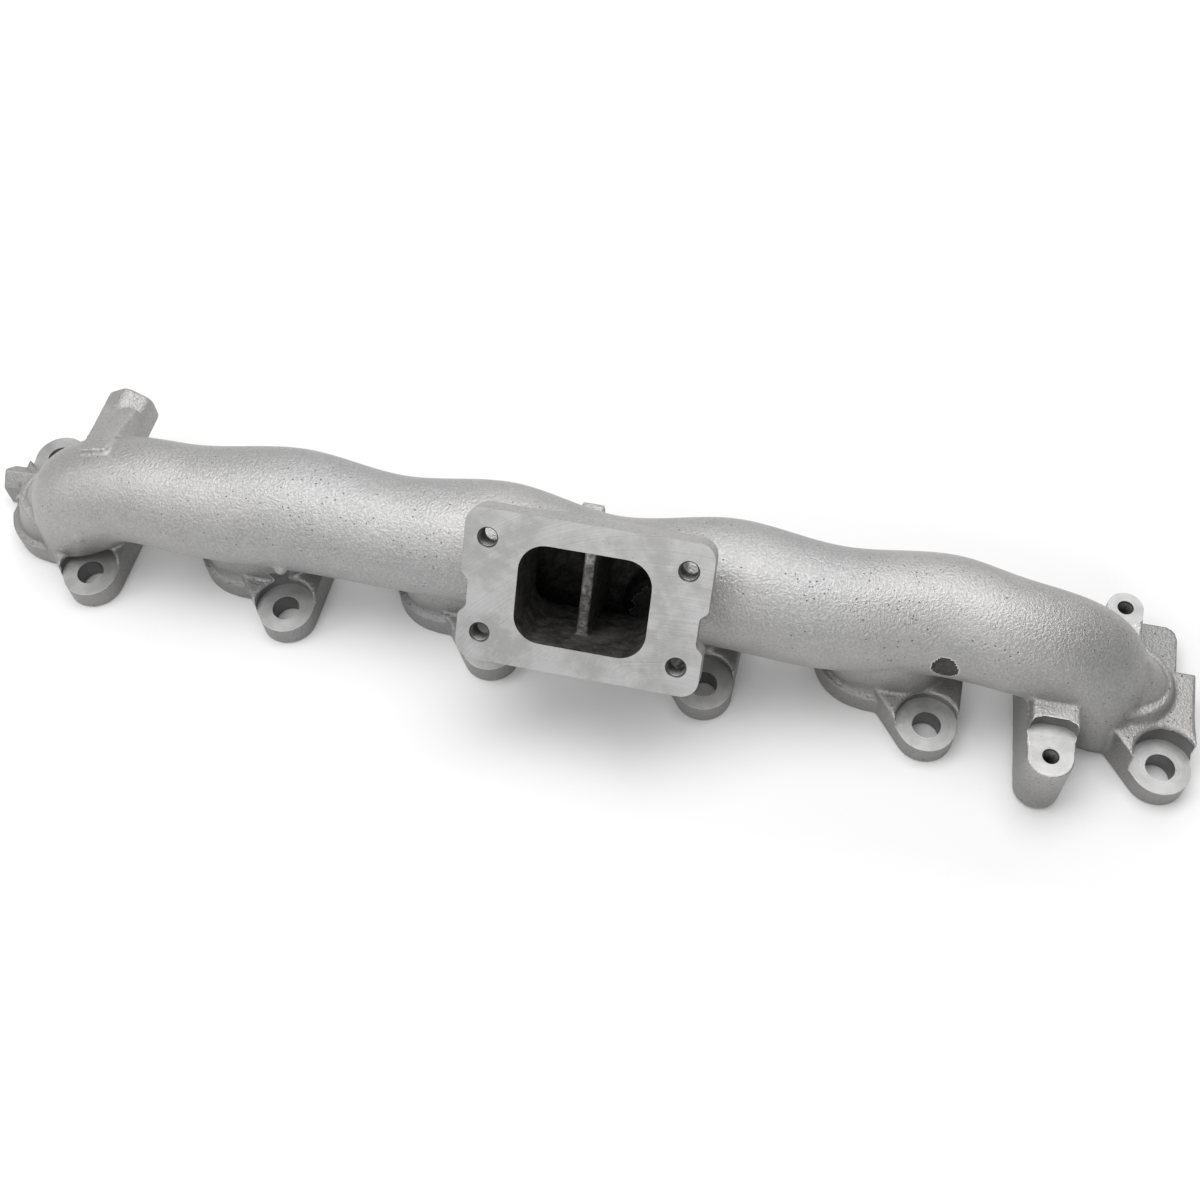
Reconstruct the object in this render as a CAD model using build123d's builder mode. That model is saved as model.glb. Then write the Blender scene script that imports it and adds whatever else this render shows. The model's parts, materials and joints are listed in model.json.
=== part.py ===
from build123d import *
import os
from math import cos, radians, sin

# Exhaust manifold of an in-line six-cylinder diesel engine: six head flanges, six short runners,
# one long log with an elbow at each end, and a tilted four-bolt turbocharger flange on a neck.
#
# The real object is a single iron casting.  Each of its regions is its own closed solid here, and
# neighbouring regions meet face to face, the way the pattern of such a casting is put together.
#
# Frame: x runs along the row of ports (port 1 at -x), +z points out of the cylinder head, and z = 0
# is the machined face that lies on the head.  The origin is the middle of the port row.  Unit: mm.

os.makedirs("parts", exist_ok=True)

# ---- the port row
port_count = 6
port_pitch = 120.0
port_width = 52.0
port_height = 38.0
port_corner = 16.0

# ---- head flanges: an oval pad with one ear below the port and one above it
pad_thickness = 12.6
pad_lobe_radius = 31.0
pad_lobe_x = 7.9
pad_lobe_y = 2.6
pad_band = 28.8
pad_side = 42.0
front_pad_side = 37.5
rear_pad_side = 38.5
ear_x = 26.1
ear_y = 37.4
ear_radius = 15.5
ear_hole_radius = 7.6
ear_block_height = 18.5
spotface_radius = 16.5
ear_web_lean = 38.2
ear_web_length = 32.0

# ---- runners: short oval ducts that flare upwards into the log
runner_base_radius = 24.0
runner_spread = 9.5
runner_top_radius = 28.5
runner_top_height = 48.0
runner_lean = (4.0, 0.0, -3.0, -9.0)
end_runner_top_radius = 22.0
end_runner_lean = 6.0
end_runner_top = 34.0
elbow_cut_turn = 60

# ---- log: a round pipe that swells next to each port, with an elbow down to each end port
log_height = 55.0
log_end_radius = 30.0
log_front_end_y = -3.0
log_rear_end_y = 0.5
log_swell_x = 29.0
log_swell_y = (1.8, 2.0, 2.2, 5.0)
log_swell_radius = (34.0, 34.2, 34.4, 31.8)
log_narrow_x = 88.0
log_narrow_y = (-3.6, -1.6, -3.8, -1.8)
log_narrow_radius = (31.0, 31.3, 30.6, 32.6)
log_bore_radius = 24.5
front_elbow_bend = 50.0
rear_elbow_bend = 52.0
elbow_inset = 8.0

# ---- ducts that join the ports to the bore of the log
duct_into_bore = 6.0
duct_squash = 3.0
duct_corner_loss = 2.0
past_face = 1.0

# ---- turbocharger neck and flange
flange_x = 25.3
flange_y = -49.6
flange_z = 95.0
flange_tilt = 51.7
flange_width = 126.0
flange_depth = 81.0
flange_corner = 9.0
flange_thickness = 13.0
flange_hole_x = 101.6
flange_hole_y = 50.8
flange_hole_radius = 4.25
flange_hole_chamfer = 1.2
mouth_width = 68.0
mouth_depth = 52.0
mouth_corner = 14.0
waist_depth = 4.0
waist_low = -16.5
waist_high = 5.5
waist_bevel = 3.5
neck_wall = 8.5
neck_flare_x = 8.0
neck_foot_depth = 57.0
neck_foot_height = 55.0
neck_foot_corner = 16.0
neck_to_log = 63.0
neck_bore_foot_x = 62.0
neck_bore_foot_y = 44.0
divider_thickness = 6.0
divider_x = -2.0
divider_setback = 20.0
divider_foot = 76.0

# ---- front end: sensor boss, side lug; top centre: feeder pad
boss_from_port = 26.0
boss_z = 50.0
boss_radius = 15.0
boss_flats = 28.0
boss_end_y = 59.0
boss_tip_chamfer = 1.0
lug_reach = 50.0
lug_root = 18.0
lug_low_y = 8.0
lug_high_y = 25.5
lug_height = 22.0
lug_ridge = 8.0
feeder_x = 11.0
feeder_z = 58.0
feeder_width = 13.0
feeder_height = 11.0
feeder_end_y = 33.5

# ---- rear end: two threaded bracket bosses, end block and plate corner
upper_boss_from_port = 0.0
upper_boss_y = 43.0
upper_boss_top = 34.0
upper_boss_radius = 9.6
lower_boss_from_port = -33.6
lower_boss_y = -56.3
lower_boss_top = 38.0
lower_boss_foot = 0.5
lower_boss_radius = 12.0
lower_boss_flare = 4.0
bracket_hole_radius = 3.4
bracket_hole_depth = 18.0
bracket_hole_chamfer = 0.9
saddle_height = 46.0
saddle_low_y = -45.0
saddle_clearance = 1.5
end_block_reach = 39.5
end_block_step = 20.0
end_block_high_y = 14.0
end_block_height = 26.0
corner_plate_reach = 33.0
corner_plate_high_y = 50.0
corner_plate_round = 8.0

row_half = port_pitch * (port_count - 1) / 2
ports = [port_pitch * i - row_half for i in range(port_count)]
elbow_x = row_half - elbow_inset
bend = {-1: front_elbow_bend, 1: rear_elbow_bend}
log_end = {side: elbow_x - bend[side] for side in bend}
boss_x = ports[0] + boss_from_port
lug_outer_x = ports[0] - lug_reach
lug_inner_x = ports[0] - lug_root
upper_boss_x = ports[-1] + upper_boss_from_port
lower_boss_x = ports[-1] + lower_boss_from_port
end_block_x = ports[-1] + end_block_reach
end_block_step_x = ports[-1] + end_block_step
corner_plate_x = ports[-1] + corner_plate_reach
big = 900.0
same_size = 0.01

# the turbocharger flange's own plane: x along the log, y up the sloping face, z out of the mouth
flange_plane = Plane(
    origin=(flange_x, flange_y, flange_z),
    x_dir=(1, 0, 0),
    z_dir=(0, -sin(radians(flange_tilt)), cos(radians(flange_tilt))),
)


def pipe_plane(x, y, z, turn):
    """A plane square to the log's centre line, which leans over by turn degrees in an elbow."""
    return Plane(origin=(x, y, z), x_dir=(0, 1, 0), z_dir=(cos(radians(turn)), 0, -sin(radians(turn))))


def elbow_plane(side, turn, y=0):
    """The plane across an elbow's centre line where it has turned down by turn degrees."""
    reach = log_end[side] + bend[side] * sin(radians(turn))
    drop = bend[side] * (1 - cos(radians(turn)))
    return pipe_plane(side * reach, y, log_height - drop, side * turn)


# ---- the log's outside as one smooth loft, from port 1 up, along the row and down to port 6
elbow_turns = (90, 60, 30, 0)
with BuildPart() as log_outer:
    for turn in elbow_turns:
        with BuildSketch(elbow_plane(-1, turn, log_front_end_y)):
            Circle(log_end_radius)
    for i in range(port_count - 2):
        with BuildSketch(pipe_plane(ports[i] + log_narrow_x, log_narrow_y[i], log_height, 0)):
            Circle(log_narrow_radius[i])
        with BuildSketch(pipe_plane(ports[i + 1] + log_swell_x, log_swell_y[i], log_height, 0)):
            Circle(log_swell_radius[i])
    for turn in reversed(elbow_turns):
        with BuildSketch(elbow_plane(1, turn, log_rear_end_y)):
            Circle(log_end_radius)
    loft()

# ---- the gas passage: a bore along the log and down both elbows, six port ducts, the neck's duct
with BuildPart() as passage:
    with BuildSketch(elbow_plane(-1, 0)):
        Circle(log_bore_radius)
    extrude(amount=log_end[-1] + log_end[1])
    for side in bend:
        with BuildSketch(elbow_plane(side, 0)):
            Circle(log_bore_radius)
        bend_axis = Axis((side * log_end[side], 0, log_height - bend[side]), (0, side, 0))
        revolve(axis=bend_axis, revolution_arc=90)
    for port in ports:
        side = {ports[0]: -1, ports[-1]: 1}.get(port, 0)
        duct_x = port - side * elbow_inset
        duct_z = log_height - bend[side] + duct_into_bore if side else log_height - duct_into_bore
        with BuildSketch(Plane.XY.offset(-past_face)):
            with Locations((port, 0)):
                RectangleRounded(port_width, port_height, port_corner)
        extrude(amount=past_face)
        with BuildSketch(Plane.XY):
            with Locations((port, 0)):
                RectangleRounded(port_width, port_height, port_corner)
        with BuildSketch(Plane.XY.offset(duct_z)):
            with Locations((duct_x, 0)):
                RectangleRounded(
                    2 * log_bore_radius, 2 * log_bore_radius - duct_squash, log_bore_radius - duct_corner_loss
                )
        loft()
    with BuildSketch(flange_plane.offset(past_face)):
        RectangleRounded(mouth_width, mouth_depth, mouth_corner)
    extrude(amount=-past_face - flange_thickness)
    with BuildSketch(flange_plane.offset(-flange_thickness)):
        RectangleRounded(mouth_width, mouth_depth, mouth_corner)
    with BuildSketch(flange_plane.offset(-neck_to_log)):
        RectangleRounded(neck_bore_foot_x, neck_bore_foot_y, mouth_corner)
    loft()


# ---- outsides of the runners: oval at the pad, wider where they run into the log
def oval(x, radius):
    """A long round-ended oval that lies along the port row."""
    with Locations((x - runner_spread, 0), (x + runner_spread, 0)):
        Circle(radius)
    make_hull()


def runner_outside(port, lean, top, top_radius):
    with BuildPart() as body:
        with BuildSketch(Plane.XY.offset(pad_thickness)):
            oval(port, runner_base_radius)
        with BuildSketch(Plane.XY.offset(top)):
            oval(port + lean, top_radius)
        loft()
    return body.part


def below_cut(side):
    """Everything on the head's side of the plane that cuts an elbow from its runner."""
    with BuildPart() as under:
        with BuildSketch(elbow_plane(side, elbow_cut_turn)):
            Rectangle(big, big)
        extrude(amount=side * big)
    return under.part


leans = [end_runner_lean] + list(runner_lean) + [-end_runner_lean]
runner_solids = [
    runner_outside(port, lean, runner_top_height, runner_top_radius) for port, lean in zip(ports, leans)
]
below = {}
for side, at in ((-1, 0), (1, port_count - 1)):
    below[side] = below_cut(side)
    with BuildPart() as end_runner:
        add(runner_outside(ports[at], leans[at], end_runner_top, end_runner_top_radius))
        add(log_outer.part)
        add(below[side], mode=Mode.INTERSECT)
    runner_solids[at] = end_runner.part


def save(body, name):
    """Name a finished solid and write it to its own file."""
    body.label = name
    export_step(body, "parts/" + name + ".step")
    print(name, "valid", body.is_valid, "solids", len(body.solids()), "cm3", round(body.volume / 1000, 1))


# ---- the log in five lengths, each the outside less the passage
log_cuts = [-big, -log_end[-1], -port_pitch, port_pitch, log_end[1], big]
log_names = ["log_front_elbow", "log_front", "log_middle", "log_rear", "log_rear_elbow"]
for name, low, high in zip(log_names, log_cuts[:-1], log_cuts[1:]):
    with BuildPart() as log_piece:
        with BuildSketch(Plane.YZ.offset(low)):
            Rectangle(big, big)
        extrude(amount=high - low)
        add(log_outer.part, mode=Mode.INTERSECT)
        add(below[-1], mode=Mode.SUBTRACT)
        add(below[1], mode=Mode.SUBTRACT)
        add(passage.part, mode=Mode.SUBTRACT)
    save(log_piece.part, name)

# ---- runners: what shows of each outside the log
runner_names = ["runner_" + str(i + 1) for i in range(port_count)]
for name, outside in zip(runner_names, runner_solids):
    with BuildPart() as runner:
        add(outside)
        if name not in (runner_names[0], runner_names[-1]):
            add(log_outer.part, mode=Mode.SUBTRACT)
        add(passage.part, mode=Mode.SUBTRACT)
    save(runner.part, name)


# ---- head flanges
def ear_block(port, side, reach=pad_side):
    """Plan of one ear with its block reaching in to the runner; side is 1 for the lower ear, -1 above."""
    lean = radians(ear_web_lean)
    foot_x = ear_x - ear_radius * cos(lean)
    foot_y = ear_y + ear_radius * sin(lean)
    root_x = foot_x - ear_web_length * sin(lean)
    root_y = foot_y - ear_web_length * cos(lean)
    with Locations((port + side * ear_x, -side * ear_y)):
        Circle(ear_radius)
    with BuildLine() as block:
        Polyline(
            (port + side * (ear_x + ear_radius), -side * ear_y),
            (port + side * reach, 0),
            (port + side * root_x, 0),
            (port + side * root_x, -side * root_y),
            (port + side * foot_x, -side * foot_y),
            close=True,
        )
    make_face(block.edges())


flange_solids = []
lower_reach = [pad_side] * (port_count - 1) + [rear_pad_side]
upper_reach = [front_pad_side] + [pad_side] * (port_count - 1)
for i, port in enumerate(ports):
    with BuildPart() as pad:
        with BuildSketch():
            with Locations((port - pad_lobe_x, pad_lobe_y), (port + pad_lobe_x, -pad_lobe_y)):
                Circle(pad_lobe_radius)
            with Locations((port, 0)):
                Rectangle(2 * min(lower_reach[i], upper_reach[i]), 2 * pad_band, mode=Mode.INTERSECT)
            ear_block(port, 1, lower_reach[i])
            ear_block(port, -1, upper_reach[i])
        extrude(amount=pad_thickness)
        with BuildSketch(Plane.XY.offset(pad_thickness)):
            if port < ports[-1]:
                ear_block(port, 1, lower_reach[i])
            ear_block(port, -1, upper_reach[i])
        extrude(amount=ear_block_height - pad_thickness)
        ears = [(port + ear_x, -ear_y), (port - ear_x, ear_y)]
        with BuildSketch(Plane.XY.offset(pad_thickness)):
            with Locations(*ears):
                Circle(spotface_radius)
        extrude(amount=ear_block_height, mode=Mode.SUBTRACT)
        with BuildSketch():
            with Locations(*ears):
                Circle(ear_hole_radius)
        extrude(amount=ear_block_height, mode=Mode.SUBTRACT)
        add(runner_solids[i], mode=Mode.SUBTRACT)
        add(log_outer.part, mode=Mode.SUBTRACT)
        add(passage.part, mode=Mode.SUBTRACT)
    flange_solids.append(pad.part)
    save(pad.part, "head_flange_" + str(i + 1))

# ---- turbocharger flange: waisted plate, undivided mouth, four tapped holes
with BuildPart() as turbo_flange:
    with BuildSketch(flange_plane):
        RectangleRounded(flange_width, flange_depth, flange_corner)
        for side in (-1, 1):
            with BuildLine():
                Polyline(
                    (side * (flange_width / 2 + past_face), waist_high + waist_bevel),
                    (side * flange_width / 2, waist_high),
                    (side * (flange_width / 2 - waist_depth), waist_high - waist_bevel),
                    (side * (flange_width / 2 - waist_depth), waist_low + waist_bevel),
                    (side * flange_width / 2, waist_low),
                    (side * (flange_width / 2 + past_face), waist_low - waist_bevel),
                    close=True,
                )
            make_face(mode=Mode.SUBTRACT)
    extrude(amount=-flange_thickness)
    with BuildSketch(flange_plane):
        with GridLocations(flange_hole_x, flange_hole_y, 2, 2):
            Circle(flange_hole_radius)
    extrude(amount=-flange_thickness, mode=Mode.SUBTRACT)
    rims = turbo_flange.edges().filter_by(GeomType.CIRCLE)
    rims = rims.filter_by(lambda e: abs(e.radius - flange_hole_radius) < same_size)
    chamfer(rims, flange_hole_chamfer)
    add(passage.part, mode=Mode.SUBTRACT)
save(turbo_flange.part, "turbo_flange")

# ---- neck between the flange and the log
with BuildPart() as neck_outer:
    with BuildSketch(flange_plane.offset(-flange_thickness)):
        RectangleRounded(mouth_width + 2 * neck_wall, mouth_depth + 2 * neck_wall, mouth_corner + neck_wall)
    with BuildSketch(flange_plane.offset(-neck_foot_depth)):
        RectangleRounded(
            mouth_width + 2 * neck_wall + 2 * neck_flare_x, neck_foot_height, neck_foot_corner
        )
    loft()
with BuildPart() as turbo_neck:
    add(neck_outer.part)
    add(log_outer.part, mode=Mode.SUBTRACT)
    for outside in runner_solids:
        add(outside, mode=Mode.SUBTRACT)
    add(passage.part, mode=Mode.SUBTRACT)
save(turbo_neck.part, "turbo_neck")

# ---- rib that parts the flow in the neck
with BuildPart() as flow_divider:
    with BuildSketch(flange_plane.offset(-divider_setback)):
        with Locations((divider_x, 0)):
            Rectangle(divider_thickness, flange_depth)
    extrude(amount=divider_setback - divider_foot)
    add(passage.part, mode=Mode.INTERSECT)
save(flow_divider.part, "flow_divider")

# ---- sensor boss over port 1: a round stub with flats, standing out towards +y
with BuildPart() as front_boss:
    with BuildSketch(Plane.XZ):
        with Locations((boss_x, boss_z)):
            Circle(boss_radius)
            RegularPolygon(boss_flats / 2, 6, major_radius=False, rotation=30, mode=Mode.INTERSECT)
    extrude(amount=-boss_end_y)
    tip = front_boss.faces().sort_by(Axis.Y)[-1]
    chamfer(tip.edges(), boss_tip_chamfer)
    add(log_outer.part, mode=Mode.SUBTRACT)
    add(runner_solids[0], mode=Mode.SUBTRACT)
    add(passage.part, mode=Mode.SUBTRACT)
save(front_boss.part, "front_boss")

# ---- roof-shaped lug on the outer side of pad 1
with BuildPart() as front_lug:
    with BuildSketch(Plane.YZ.offset(lug_outer_x)):
        with BuildLine():
            Polyline(
                (lug_low_y, 0),
                (lug_high_y, 0),
                (lug_high_y, lug_height - lug_ridge),
                ((lug_low_y + lug_high_y) / 2, lug_height),
                (lug_low_y, lug_height - lug_ridge),
                close=True,
            )
        make_face()
    extrude(amount=lug_inner_x - lug_outer_x)
    with BuildSketch(Plane.XY.offset(pad_thickness)):
        with Locations((ports[0] - ear_x, ear_y)):
            Circle(spotface_radius)
    extrude(amount=lug_height, mode=Mode.SUBTRACT)
    add(flange_solids[0], mode=Mode.SUBTRACT)
    add(runner_solids[0], mode=Mode.SUBTRACT)
    add(log_outer.part, mode=Mode.SUBTRACT)
    add(passage.part, mode=Mode.SUBTRACT)
save(front_lug.part, "front_lug")

# ---- feeder stub on the back of the log, beside the neck
with BuildPart() as feeder_pad:
    with BuildSketch(Plane.XZ):
        with Locations((feeder_x, feeder_z)):
            Rectangle(feeder_width, feeder_height)
    extrude(amount=-feeder_end_y)
    add(log_outer.part, mode=Mode.SUBTRACT)
    add(passage.part, mode=Mode.SUBTRACT)
save(feeder_pad.part, "feeder_pad")

# ---- rear end: threaded bosses, end block, corner of the pad
with BuildPart() as rear_upper_boss:
    with BuildSketch():
        with Locations((upper_boss_x, upper_boss_y)):
            Circle(upper_boss_radius)
        with Locations((upper_boss_x, upper_boss_y / 2)):
            Rectangle(2 * upper_boss_radius, upper_boss_y)
    extrude(amount=upper_boss_top)
    with BuildSketch(Plane.XY.offset(upper_boss_top)):
        with Locations((upper_boss_x, upper_boss_y)):
            Circle(bracket_hole_radius)
    extrude(amount=-bracket_hole_depth, mode=Mode.SUBTRACT)
    rims = rear_upper_boss.edges().filter_by(GeomType.CIRCLE)
    rims = rims.filter_by(lambda e: abs(e.radius - bracket_hole_radius) < same_size)
    chamfer(rims.sort_by(Axis.Z)[-1], bracket_hole_chamfer)
    add(flange_solids[-1], mode=Mode.SUBTRACT)
    add(runner_solids[-1], mode=Mode.SUBTRACT)
    add(log_outer.part, mode=Mode.SUBTRACT)
    add(passage.part, mode=Mode.SUBTRACT)
save(rear_upper_boss.part, "rear_upper_boss")

with BuildPart() as rear_lower_boss:
    with BuildSketch(Plane.XY.offset(lower_boss_foot)):
        with Locations((lower_boss_x, lower_boss_y)):
            Circle(lower_boss_radius)
        with BuildLine():
            Polyline(
                (lower_boss_x - lower_boss_radius, lower_boss_y),
                (lower_boss_x + lower_boss_radius, lower_boss_y),
                (lower_boss_x + lower_boss_radius, 0),
                (lower_boss_x - lower_boss_radius - lower_boss_flare, 0),
                close=True,
            )
        make_face()
    extrude(amount=lower_boss_top - lower_boss_foot)
    with BuildSketch(Plane.XY.offset(lower_boss_top)):
        with Locations((lower_boss_x, lower_boss_y)):
            Circle(bracket_hole_radius)
    extrude(amount=-bracket_hole_depth, mode=Mode.SUBTRACT)
    rims = rear_lower_boss.edges().filter_by(GeomType.CIRCLE)
    rims = rims.filter_by(lambda e: abs(e.radius - bracket_hole_radius) < same_size)
    chamfer(rims.sort_by(Axis.Z)[-1], bracket_hole_chamfer)
    with BuildSketch(Plane.XY.offset(lower_boss_top)):
        with Locations((lower_boss_x, saddle_low_y / 2)):
            Rectangle(2 * lower_boss_radius, -saddle_low_y)
        with Locations((lower_boss_x, lower_boss_y)):
            Circle(lower_boss_radius + saddle_clearance, mode=Mode.SUBTRACT)
    extrude(amount=saddle_height - lower_boss_top)
    add(flange_solids[-1], mode=Mode.SUBTRACT)
    add(runner_solids[-1], mode=Mode.SUBTRACT)
    add(log_outer.part, mode=Mode.SUBTRACT)
    add(passage.part, mode=Mode.SUBTRACT)
save(rear_lower_boss.part, "rear_lower_boss")

with BuildPart() as rear_end_block:
    with BuildSketch(Plane.XY.offset(pad_thickness)):
        ear_block(ports[-1], 1, rear_pad_side)
        with BuildLine():
            Polyline(
                (end_block_step_x, -ear_y),
                (end_block_x, -ear_y),
                (end_block_x, end_block_high_y),
                (end_block_step_x, end_block_high_y),
                close=True,
            )
        make_face()
    extrude(amount=end_block_height - pad_thickness)
    with BuildSketch(Plane.XY.offset(pad_thickness)):
        with Locations((ports[-1] + ear_x, -ear_y)):
            Circle(spotface_radius)
    extrude(amount=end_block_height, mode=Mode.SUBTRACT)
    add(flange_solids[-1], mode=Mode.SUBTRACT)
    add(runner_solids[-1], mode=Mode.SUBTRACT)
    add(log_outer.part, mode=Mode.SUBTRACT)
    add(passage.part, mode=Mode.SUBTRACT)
save(rear_end_block.part, "rear_end_block")

with BuildPart() as rear_corner_plate:
    with BuildSketch() as corner:
        with BuildLine():
            Polyline(
                (ports[-1], 0),
                (corner_plate_x, 0),
                (corner_plate_x, corner_plate_high_y),
                (ports[-1], corner_plate_high_y),
                close=True,
            )
        make_face()
        fillet(corner.vertices().sort_by(Axis.X)[-2:].sort_by(Axis.Y)[-1], corner_plate_round)
    extrude(amount=pad_thickness)
    add(flange_solids[-1], mode=Mode.SUBTRACT)
    add(rear_upper_boss.part, mode=Mode.SUBTRACT)
    add(rear_end_block.part, mode=Mode.SUBTRACT)
    add(runner_solids[-1], mode=Mode.SUBTRACT)
    add(log_outer.part, mode=Mode.SUBTRACT)
    add(passage.part, mode=Mode.SUBTRACT)
save(rear_corner_plate.part, "rear_corner_plate")
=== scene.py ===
# %% [markdown]
# # A cast-iron exhaust manifold, cell by cell
#
# A manifold like this is one grey-iron casting.  Molten iron gives it soft rounded edges and a
# grainy skin, and then a few faces are machined: the face that lies on the head, the turbocharger
# face, a round seat for each bolt and the threaded holes.  The script follows the same order.  It
# grows a soft casting skin over the exact CAD regions, cuts the machined faces into that skin, and
# gives every kind of surface its own finish.

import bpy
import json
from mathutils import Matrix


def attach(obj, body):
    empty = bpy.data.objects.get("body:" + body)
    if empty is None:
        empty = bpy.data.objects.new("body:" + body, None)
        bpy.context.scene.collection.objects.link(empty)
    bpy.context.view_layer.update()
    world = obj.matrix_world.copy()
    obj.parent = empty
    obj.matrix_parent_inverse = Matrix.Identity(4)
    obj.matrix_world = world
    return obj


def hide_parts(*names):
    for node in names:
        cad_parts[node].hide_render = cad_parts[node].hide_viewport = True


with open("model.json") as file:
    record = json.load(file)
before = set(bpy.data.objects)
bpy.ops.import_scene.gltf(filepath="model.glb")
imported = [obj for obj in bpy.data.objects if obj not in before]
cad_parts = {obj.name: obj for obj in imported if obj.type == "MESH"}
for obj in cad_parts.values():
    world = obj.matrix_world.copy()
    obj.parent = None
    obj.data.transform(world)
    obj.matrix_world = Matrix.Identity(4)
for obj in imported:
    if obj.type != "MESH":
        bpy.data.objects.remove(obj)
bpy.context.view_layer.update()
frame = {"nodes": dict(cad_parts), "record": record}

import json
from math import cos, pi, radians, sin, sqrt

import bmesh
import bpy
import numpy as np
from mathutils import Matrix, Vector
from mathutils.bvhtree import BVHTree

MM = 0.001
nodes = frame["nodes"]
mounts = {m["name"]: m for m in frame["record"]["mounts"]}
print("regions of the casting:", len(nodes))

# %% [markdown]
# The camera and the light come first, so that each later step can be looked at.  The camera stands
# above the turbocharger side and is rolled a little, so its axes are given as a small matrix.  The
# light is a plain product set-up: one big soft box overhead, weaker ones at the sides, a white
# floor, and darker surroundings near the horizon that draw the shaded undersides.

# %% Camera
camera_data = bpy.data.cameras.new("camera")
camera_data.lens = 44.09
camera_data.sensor_width = 36.0
camera = bpy.data.objects.new("camera", camera_data)
right = Vector((0.97379, 0.22452, -0.03651))
back = Vector((0.15000, -0.51318, 0.84507))
up = back.cross(right)
camera.matrix_world = Matrix.Translation((0.14324, -0.42069, 0.71157)) @ Matrix((right, up, back)).transposed().to_4x4()
bpy.context.scene.collection.objects.link(camera)
bpy.context.scene.camera = camera
print("camera distance", round((camera.location - Vector((0.024, -0.013, 0.04))).length, 3), "m")


# %% Soft boxes and world
def soft_box(name, place, aim, size, watts):
    light = bpy.data.lights.new(name, "AREA")
    light.shape = "RECTANGLE"
    light.size, light.size_y = size
    light.energy = watts
    lamp = bpy.data.objects.new(name, light)
    direction = Vector(aim) - Vector(place)
    lamp.matrix_world = Matrix.Translation(place) @ direction.to_track_quat("-Z", "Y").to_matrix().to_4x4()
    bpy.context.scene.collection.objects.link(lamp)
    return lamp


soft_box("overhead", (-0.1, 0.15, 1.5), (0, 0, 0), (1.8, 1.0), 24)
soft_box("back_strip", (0.0, 1.3, 0.9), (0, 0, 0), (2.2, 0.6), 9)
soft_box("front_panel", (0.0, -1.5, 1.1), (0, 0, 0), (1.6, 0.9), 11)
soft_box("left_fill", (-1.5, -0.5, 0.9), (0, 0, 0), (1.0, 1.0), 7)

world = bpy.data.worlds.new("studio")
world.use_nodes = True
world.node_tree.nodes["Background"].inputs["Color"].default_value = (1, 1, 1, 1)
world.node_tree.nodes["Background"].inputs["Strength"].default_value = 0.36
bpy.context.scene.world = world
bpy.context.scene.view_settings.view_transform = "Standard"

# %% [markdown]
# Where the machining happens comes from the part's own record: the bolt circles of the six bolt
# pairs, the four stud holes, the turbocharger face and the two bracket holes.  All bolt pairs share
# the origin, so two of their radii are enough to work out how far an ear's hole is from its port.

# %% Places of the machined features
ports = [Vector(mounts[f"port_{i}_face"]["pos_m"]) for i in range(1, 7)]
radius_3 = mounts["head_bolts_pair_3"]["dims"]["pcd_mm"] / 2 * MM
radius_4 = mounts["head_bolts_pair_4"]["dims"]["pcd_mm"] / 2 * MM
ear_x = (radius_4**2 - radius_3**2) / (4 * ports[3].x)
ear_y = sqrt(radius_4**2 - (ports[3].x + ear_x) ** 2)
ear_hole_radius = mounts["head_bolts_pair_1"]["dims"]["hole_r_mm"] * MM
ears = [Vector((p.x + side * ear_x, -side * ear_y, 0)) for p in ports for side in (1, -1)]
turbo_centre = Vector(mounts["turbo_face"]["pos_m"])
turbo_normal = Vector(mounts["turbo_face"]["axis"]).normalized()
turbo_up = turbo_normal.cross(Vector((1, 0, 0)))
stud_holes = [Vector(mounts[f"turbo_stud_hole_{i}"]["pos_m"]) for i in range(1, 5)]
stud_holes = [h + turbo_normal * (turbo_centre - h).dot(turbo_normal) for h in stud_holes]
stud_radius = mounts["turbo_stud_hole_1"]["dims"]["r_mm"] * MM
bracket_radius = mounts["upper_bracket_hole"]["dims"]["r_mm"] * MM
bracket_holes = []
for hole in ("upper_bracket_hole", "lower_bracket_hole"):
    place = Vector(mounts[hole]["pos_m"])
    bracket_holes.append(Vector((place.x, place.y, 0)))
flange_thickness = 13.0 * MM
pad_top = 12.6 * MM
seat_radius = 16.5 * MM
boss_tops = (34.0 * MM, 38.0 * MM)
stud_thread_depth = 0.7 * MM
bracket_thread_depth = 0.56 * MM


def seat_top(ear):
    """How high a seat's cutter reaches: low on the two ears beside an elbow, where the duct is close."""
    return (17.0 if ports[-1].x - 2 * ear_x < abs(ear.x) < ports[-1].x else 27.0) * MM


print("ear holes are", round(ear_x / MM, 1), "and", round(abs(ear_y) / MM, 1), "mm from their port")

# %% [markdown]
# The casting skin.  A foundry pours a slightly oversize blank: every face that will be machined
# carries a few millimetres of spare iron, and small holes are not cast at all.  The blank is the 27
# CAD regions copied into one mesh, with that spare iron added.  A voxel remesh melts them into one
# skin, and smoothing rounds every edge and fills every crease a little, as flowing iron does.


# %% Small mesh helpers
def new_object(name, mesh):
    thing = bpy.data.objects.new(name, mesh)
    bpy.context.scene.collection.objects.link(thing)
    return thing


def turn_to(axis):
    """The turn that takes +Z to axis."""
    return Vector(axis).normalized().to_track_quat("Z", "Y").to_matrix().to_4x4()


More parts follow.
